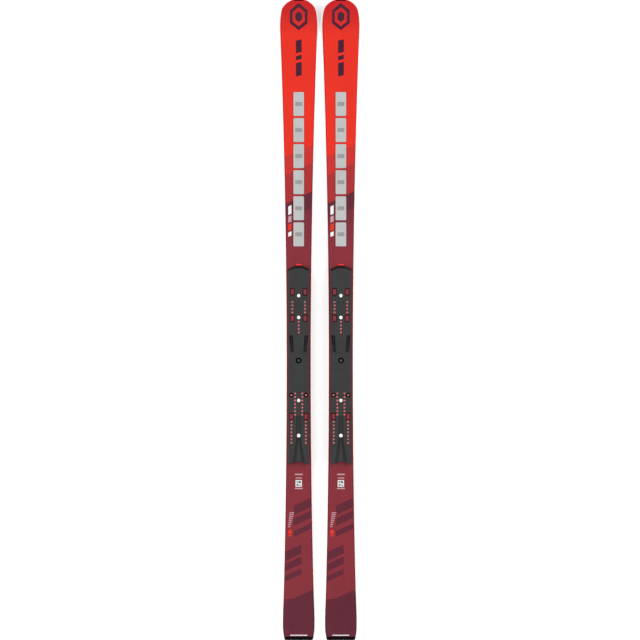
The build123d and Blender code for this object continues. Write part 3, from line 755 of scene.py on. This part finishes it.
# Each layer has its notch's floor and two surfaces, from the lower to the upper, and each surface
# is (inset, line, height above the line).
slabs = {
    "running_base": ("base", tongue_floor_y, (edge_width, base, 0.0), (edge_width, base, flange_bottom)),
    "lower_metal_sheet": ("lower_sheet", tongue_floor_y, (0.0, base, flange_top),
                          (0.0, base, lower_sheet_top)),
    "upper_metal_sheet": ("metal_sheet", sheet_floor_y, on_bevel(upper_sheet_depth),
                          on_bevel(print_sheet_depth)),
    "top_sheet": ("top_sheet", sheet_floor_y, on_bevel(print_sheet_depth), on_bevel(print_depth)),
}
# Each section is a closed outline of corners of the same form.
sections = {
    "edge": ("edge_steel", [(0.0, base, 0.0), (edge_width, base, 0.0),
                            (edge_width, base, flange_bottom), (anchor_width, base, flange_bottom),
                            (anchor_width, base, flange_top), (0.0, base, flange_top)]),
    "sidewall": ("sidewall", [(0.0, base, lower_sheet_top), (anchor_width, base, lower_sheet_top),
                              (anchor_width, deck, -upper_sheet_depth),
                              on_bevel(upper_sheet_depth), on_bevel(bevel_width)]),
}
deck_points, deck_pieces = divide_deck()
for side in SIDES:
    body = f"{side}_ski"
    ski_x = centre_line(side)
    for name, (finish, floor_y, low, high) in slabs.items():
        bm = bmesh.new()
        slab(bm, ski_x, floor_y, low, high)
        piece = new_piece(f"{side}_{name}_layer", bm, finishes[finish], body)
        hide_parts(f"{side}_{name}")
    for name, (slot, section) in sections.items():
        for hand_name, hand in (("left", -1), ("right", 1)):
            bm = bmesh.new()
            sweep(bm, ski_x, hand, section)
            piece = new_piece(f"{side}_{hand_name}_{name}_strip", bm, finishes[slot], body)
            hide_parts(f"{side}_{hand_name}_{name}")
    for owner, triangles in deck_pieces.items():
        name, ink, _shapes = artwork[owner]
        film(f"{side}_{name}_print", ski_x, body, deck_points, triangles, inks[ink])

# ------------------------------------------------------------------ floor, light and camera
floor_half = 12.0
bm = bmesh.new()
bm.faces.new([bm.verts.new((x * floor_half, y * floor_half, 0))
              for x, y in ((-1, -1), (1, -1), (1, 1), (-1, 1))])
floor_mesh = bpy.data.meshes.new("studio_floor")
bm.to_mesh(floor_mesh)
bm.free()
floor = bpy.data.objects.new("studio_floor", floor_mesh)
bpy.context.scene.collection.objects.link(floor)
paper = Shader("floor_paper")
paper_tone = paper.spread(paper.noise(3.0, 2.0), 0.3, 0.7, 0.0, 1.0)
floor_mesh.materials.append(paper.finish(
    paper.blend(paper_tone, (0.92, 0.92, 0.92, 1), (0.94, 0.94, 0.94, 1)),
    paper.spread(paper_tone, 0, 1, 0.8, 0.9), paper.bump(paper.noise(300.0), 0.00005, 0.2),
    Emission_Color=(1, 1, 1, 1), Emission_Strength=0.3))

world = bpy.data.worlds.new("studio_dome")
bpy.context.scene.world = world
world.use_nodes = True
tree = world.node_tree
direction = tree.nodes.new("ShaderNodeTexCoord")
split = tree.nodes.new("ShaderNodeSeparateXYZ")
tree.links.new(direction.outputs["Generated"], split.inputs["Vector"])
# The dome's grey from the horizon, 0, to straight above, 1.
dome_greys = [(0.0, 0.8), (0.35, 0.95), (0.75, 0.9), (0.93, 0.3), (1.0, 0.25)]
ramp = tree.nodes.new("ShaderNodeValToRGB")
stops = ramp.color_ramp.elements
for position, _grey in dome_greys[1:-1]:
    stops.new(position)
for stop, (position, grey) in zip(stops, dome_greys):
    stop.position = position
    stop.color = (grey, grey, grey, 1)
tree.links.new(split.outputs["Z"], ramp.inputs["Fac"])
# The dome is a little darker behind the tails, so that the upturned tips don't look washed out.
tailward = tree.nodes.new("ShaderNodeMapRange")
for key, number in (("From Min", -0.9), ("From Max", -0.1), ("To Min", 0.42), ("To Max", 1.0)):
    tailward.inputs[key].default_value = number
dome = tree.nodes.new("ShaderNodeVectorMath")
dome.operation = "SCALE"
tree.links.new(split.outputs["Y"], tailward.inputs["Value"])
tree.links.new(ramp.outputs["Color"], dome.inputs[0])
tree.links.new(tailward.outputs["Result"], dome.inputs["Scale"])
tree.links.new(dome.outputs["Vector"], tree.nodes["Background"].inputs["Color"])
tree.nodes["Background"].inputs["Strength"].default_value = 1.06


def softbox(name, place, power):
    """A rectangular area light that faces the middle of the skis."""
    light = bpy.data.lights.new(name, "AREA")
    light.shape = "RECTANGLE"
    light.size, light.size_y = 2.4, 3.2
    light.energy = power
    lamp = bpy.data.objects.new(name, light)
    lamp.location = place
    lamp.rotation_euler = (Vector((0, 0, 0)) - Vector(place)).to_track_quat("-Z", "Y").to_euler()
    lamp.visible_camera = False
    bpy.context.scene.collection.objects.link(lamp)


softbox("left_softbox", (-2.6, -1.0, 2.9), 80.0)
softbox("right_softbox", (2.9, 1.2, 2.6), 90.0)

# A long lens, straight above the skis.
camera_data = bpy.data.cameras.new("camera")
camera_data.lens = 300.0
camera_data.sensor_width = 36.0
camera_data.clip_end = 100.0
camera = bpy.data.objects.new("camera", camera_data)
camera.location = (0.0006, 0.0003, 15.14)
bpy.context.scene.collection.objects.link(camera)
bpy.context.scene.camera = camera
bpy.context.scene.view_settings.view_transform = "Standard"
